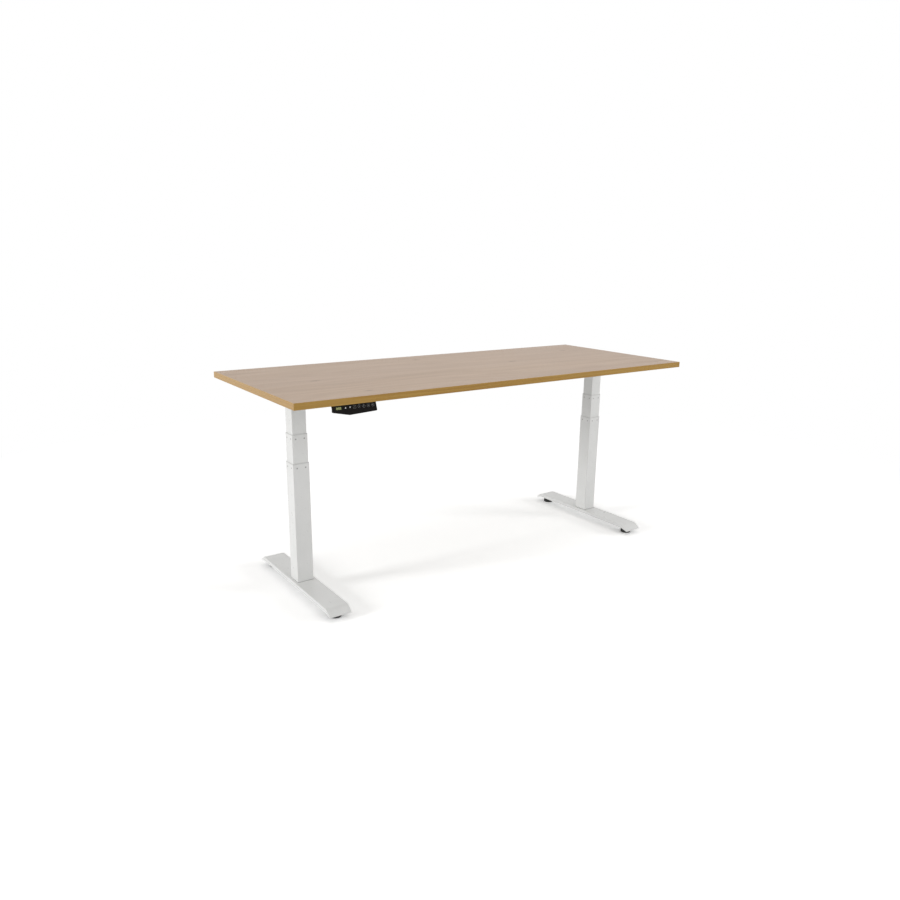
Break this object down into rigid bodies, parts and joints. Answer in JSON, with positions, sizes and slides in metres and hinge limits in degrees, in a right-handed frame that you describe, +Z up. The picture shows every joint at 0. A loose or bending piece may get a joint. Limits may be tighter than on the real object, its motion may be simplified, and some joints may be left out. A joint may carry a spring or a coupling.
{
  "type": "standing desk",
  "caption": "Height adjustable standing desk: wood-grain tabletop on two telescopic square columns with slim feet and a control handset under the front edge.",
  "frame": {"origin": "on the floor, under the middle of the tabletop, with the desk at its rest height", "axes": "+X to the seated user's right along the tabletop, +Y away from the user, +Z up"},
  "size_m": [2, 0.8, 0.87],
  "materials": {
    "white_powder_coat": "fine-textured white powder coat, satin",
    "white_nylon": "moulded light grey nylon",
    "screw_steel": "machined and oiled steel",
    "nut_polymer": "natural acetal",
    "cast_aluminium": "as-cast aluminium",
    "black_motor_paint": "black enamel",
    "black_glide_plastic": "black moulded plastic with a soft sole",
    "zinc_steel": "zinc plated",
    "particle_board": "raw particle board",
    "oak_laminate": "grey-tan oak woodgrain laminate, matt",
    "grey_backing": "plain pale grey melamine backing",
    "oak_edge": "golden oak woodgrain edge band",
    "black_box_plastic": "black moulded ABS, fine spark texture",
    "circuit_board": "green solder mask",
    "handset_black": "black moulded ABS, fine spark texture",
    "handset_gloss": "black satin face plate",
    "display_window": "dark window over a three-digit display",
    "key_black": "black key caps with white prints"
  },
  "bodies": {
    "base": {"foot_left": "white_powder_coat", "outer_tube_left": "white_powder_coat", "outer_bush_left": "white_nylon", "lift_screw_left": "screw_steel", "foot_right": "white_powder_coat", "outer_tube_right": "white_powder_coat", "outer_bush_right": "white_nylon", "lift_screw_right": "screw_steel", "foot_bolts": "zinc_steel", "glide_nuts": "zinc_steel"},
    "middle_left": {"middle_tube_left": "white_powder_coat", "middle_bush_left": "white_nylon", "nut_tube_left": "screw_steel", "upper_nut_left": "nut_polymer"},
    "sleeve_left": {"drive_sleeve_left": "nut_polymer"},
    "spindle_left": {"spindle_left": "screw_steel"},
    "glide_front_left": {"glide_front_left": "black_glide_plastic"},
    "glide_back_left": {"glide_back_left": "black_glide_plastic"},
    "middle_right": {"middle_tube_right": "white_powder_coat", "middle_bush_right": "white_nylon", "nut_tube_right": "screw_steel", "upper_nut_right": "nut_polymer"},
    "sleeve_right": {"drive_sleeve_right": "nut_polymer"},
    "spindle_right": {"spindle_right": "screw_steel"},
    "glide_front_right": {"glide_front_right": "black_glide_plastic"},
    "glide_back_right": {"glide_back_right": "black_glide_plastic"},
    "key_up": {"key_up": "key_black"},
    "key_down": {"key_down": "key_black"},
    "key_1": {"key_1": "key_black"},
    "key_2": {"key_2": "key_black"},
    "key_3": {"key_3": "key_black"},
    "key_4": {"key_4": "key_black"},
    "key_m": {"key_m": "key_black"},
    "lift": {"inner_tube_left": "white_powder_coat", "side_arm_left": "white_powder_coat", "rail_bracket_left": "white_powder_coat", "inner_tube_right": "white_powder_coat", "side_arm_right": "white_powder_coat", "rail_bracket_right": "white_powder_coat", "rail_front": "white_powder_coat", "rail_back": "white_powder_coat", "control_box_cover": "white_powder_coat", "gearbox_left": "cast_aluminium", "gearbox_right": "cast_aluminium", "motor_left": "black_motor_paint", "motor_right": "black_motor_paint", "head_screws": "zinc_steel", "frame_bolts": "zinc_steel", "tabletop_screws": "zinc_steel", "tabletop_core": "particle_board", "tabletop_laminate": "oak_laminate", "tabletop_backer": "grey_backing", "edge_band": "oak_edge", "control_box_case": "black_box_plastic", "mains_inlet": "black_box_plastic", "control_board": "circuit_board", "handset_board": "circuit_board", "handset_housing": "handset_black", "handset_face": "handset_gloss", "handset_display": "display_window"}
  },
  "joints": [
    {"name": "desk_lift", "type": "slide", "parent": "base", "child": "lift", "axis": [0, 0, 1], "range_m": [-0.23, 0.42]},
    {"name": "middle_stage_left", "type": "slide", "parent": "base", "child": "middle_left", "axis": [0, 0, 1], "range_m": [-0.115, 0.21]},
    {"name": "sleeve_turn_left", "type": "hinge", "parent": "middle_left", "child": "sleeve_left", "pos_m": [-0.82, 0, 0.366], "axis": [0, 0, 1], "range_deg": [-6930, 12630]},
    {"name": "spindle_turn_left", "type": "hinge", "parent": "lift", "child": "spindle_left", "pos_m": [-0.82, 0, 0.55], "axis": [0, 0, 1], "range_deg": [-6930, 12630]},
    {"name": "glide_front_left_level", "type": "slide", "parent": "base", "child": "glide_front_left", "axis": [0, 0, 1], "range_m": [-0.01, 0]},
    {"name": "glide_back_left_level", "type": "slide", "parent": "base", "child": "glide_back_left", "axis": [0, 0, 1], "range_m": [-0.01, 0]},
    {"name": "middle_stage_right", "type": "slide", "parent": "base", "child": "middle_right", "axis": [0, 0, 1], "range_m": [-0.115, 0.21]},
    {"name": "sleeve_turn_right", "type": "hinge", "parent": "middle_right", "child": "sleeve_right", "pos_m": [0.82, 0, 0.366], "axis": [0, 0, 1], "range_deg": [-6930, 12630]},
    {"name": "spindle_turn_right", "type": "hinge", "parent": "lift", "child": "spindle_right", "pos_m": [0.82, 0, 0.55], "axis": [0, 0, 1], "range_deg": [-6930, 12630]},
    {"name": "glide_front_right_level", "type": "slide", "parent": "base", "child": "glide_front_right", "axis": [0, 0, 1], "range_m": [-0.01, 0]},
    {"name": "glide_back_right_level", "type": "slide", "parent": "base", "child": "glide_back_right", "axis": [0, 0, 1], "range_m": [-0.01, 0]},
    {"name": "key_up_press", "type": "slide", "parent": "lift", "child": "key_up", "axis": [0, 0.957, -0.29], "range_m": [0, 0.0008], "stiffness_N_per_m": 2500, "springref_m": -0.0002},
    {"name": "key_down_press", "type": "slide", "parent": "lift", "child": "key_down", "axis": [0, 0.957, -0.29], "range_m": [0, 0.0008], "stiffness_N_per_m": 2500, "springref_m": -0.0002},
    {"name": "key_1_press", "type": "slide", "parent": "lift", "child": "key_1", "axis": [0, 0.957, -0.29], "range_m": [0, 0.0008], "stiffness_N_per_m": 2500, "springref_m": -0.0002},
    {"name": "key_2_press", "type": "slide", "parent": "lift", "child": "key_2", "axis": [0, 0.957, -0.29], "range_m": [0, 0.0008], "stiffness_N_per_m": 2500, "springref_m": -0.0002},
    {"name": "key_3_press", "type": "slide", "parent": "lift", "child": "key_3", "axis": [0, 0.957, -0.29], "range_m": [0, 0.0008], "stiffness_N_per_m": 2500, "springref_m": -0.0002},
    {"name": "key_4_press", "type": "slide", "parent": "lift", "child": "key_4", "axis": [0, 0.957, -0.29], "range_m": [0, 0.0008], "stiffness_N_per_m": 2500, "springref_m": -0.0002},
    {"name": "key_m_press", "type": "slide", "parent": "lift", "child": "key_m", "axis": [0, 0.957, -0.29], "range_m": [0, 0.0008], "stiffness_N_per_m": 2500, "springref_m": -0.0002}
  ],
  "couplings": [
    {"joint": "middle_stage_left", "follows": "desk_lift", "ratio": 0.5},
    {"joint": "sleeve_turn_left", "follows": "desk_lift", "rad_per_m": 523.6},
    {"joint": "spindle_turn_left", "follows": "desk_lift", "rad_per_m": 523.6},
    {"joint": "middle_stage_right", "follows": "desk_lift", "ratio": 0.5},
    {"joint": "sleeve_turn_right", "follows": "desk_lift", "rad_per_m": 523.6},
    {"joint": "spindle_turn_right", "follows": "desk_lift", "rad_per_m": 523.6}
  ]
}
